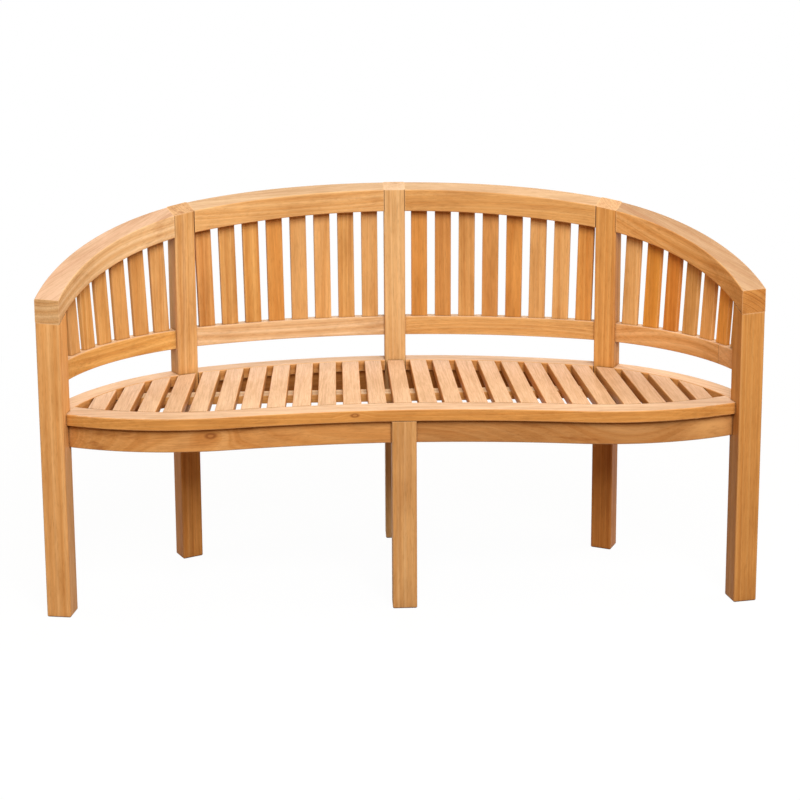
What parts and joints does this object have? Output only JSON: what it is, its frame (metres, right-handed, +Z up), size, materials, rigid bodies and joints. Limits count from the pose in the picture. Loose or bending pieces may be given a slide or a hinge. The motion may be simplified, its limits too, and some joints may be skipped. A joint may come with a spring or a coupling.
{
  "type": "garden bench",
  "caption": "Curved wooden garden bench whose back sweeps round into sloping arms, with upright slats, a slatted kidney-shaped seat and square legs.",
  "frame": {"origin": "on the floor under the middle of the bench, half way between its front bulges and the rear of the centre back post", "axes": "+X along the bench to the right as seen from the front, +Y to the back, +Z up"},
  "size_m": [1.5088, 0.5106, 0.851],
  "materials": {
    "teak_posts": "sanded, oiled teak, sawn end grain on the tops",
    "teak_rails": "sanded, oiled teak with eased edges",
    "teak_back_slats": "sanded, oiled teak",
    "teak_seat_slats": "sanded, oiled teak, paler on top",
    "teak_pegs": "end grain of round teak pegs",
    "steel_screws": "plain steel screw heads"
  },
  "bodies": {
    "root": {"arm_apron_left": "teak_rails", "arm_apron_right": "teak_rails", "arm_left": "teak_rails", "arm_right": "teak_rails", "arm_slats_left": "teak_back_slats", "arm_slats_right": "teak_back_slats", "back_apron_left": "teak_rails", "back_apron_right": "teak_rails", "back_post_centre": "teak_posts", "back_post_left": "teak_posts", "back_post_right": "teak_posts", "back_slats_left": "teak_back_slats", "back_slats_right": "teak_back_slats", "bearer_centre": "teak_rails", "bearer_left": "teak_rails", "bearer_right": "teak_rails", "front_apron_left": "teak_rails", "front_apron_right": "teak_rails", "front_leg_centre": "teak_posts", "front_leg_left": "teak_posts", "front_leg_right": "teak_posts", "front_seat_rail": "teak_rails", "lower_arm_rail_left": "teak_rails", "lower_arm_rail_right": "teak_rails", "lower_rail_left": "teak_rails", "lower_rail_right": "teak_rails", "seat_batten": "teak_rails", "seat_rim_arm_left": "teak_rails", "seat_rim_arm_right": "teak_rails", "seat_rim_back_left": "teak_rails", "seat_rim_back_right": "teak_rails", "seat_slat_01": "teak_seat_slats", "seat_slat_02": "teak_seat_slats", "seat_slat_03": "teak_seat_slats", "seat_slat_04": "teak_seat_slats", "seat_slat_05": "teak_seat_slats", "seat_slat_06": "teak_seat_slats", "seat_slat_07": "teak_seat_slats", "seat_slat_08": "teak_seat_slats", "seat_slat_09": "teak_seat_slats", "seat_slat_10": "teak_seat_slats", "seat_slat_11": "teak_seat_slats", "seat_slat_12": "teak_seat_slats", "seat_slat_13": "teak_seat_slats", "seat_slat_14": "teak_seat_slats", "seat_slat_15": "teak_seat_slats", "seat_slat_16": "teak_seat_slats", "seat_slat_17": "teak_seat_slats", "seat_slat_18": "teak_seat_slats", "seat_slat_19": "teak_seat_slats", "seat_slat_20": "teak_seat_slats", "seat_slat_21": "teak_seat_slats", "seat_slat_22": "teak_seat_slats", "seat_slat_23": "teak_seat_slats", "seat_slat_24": "teak_seat_slats", "seat_slat_25": "teak_seat_slats", "slat_screws": "steel_screws", "tenon_pegs": "teak_pegs", "top_rail_left": "teak_rails", "top_rail_right": "teak_rails"}
  },
  "joints": []
}
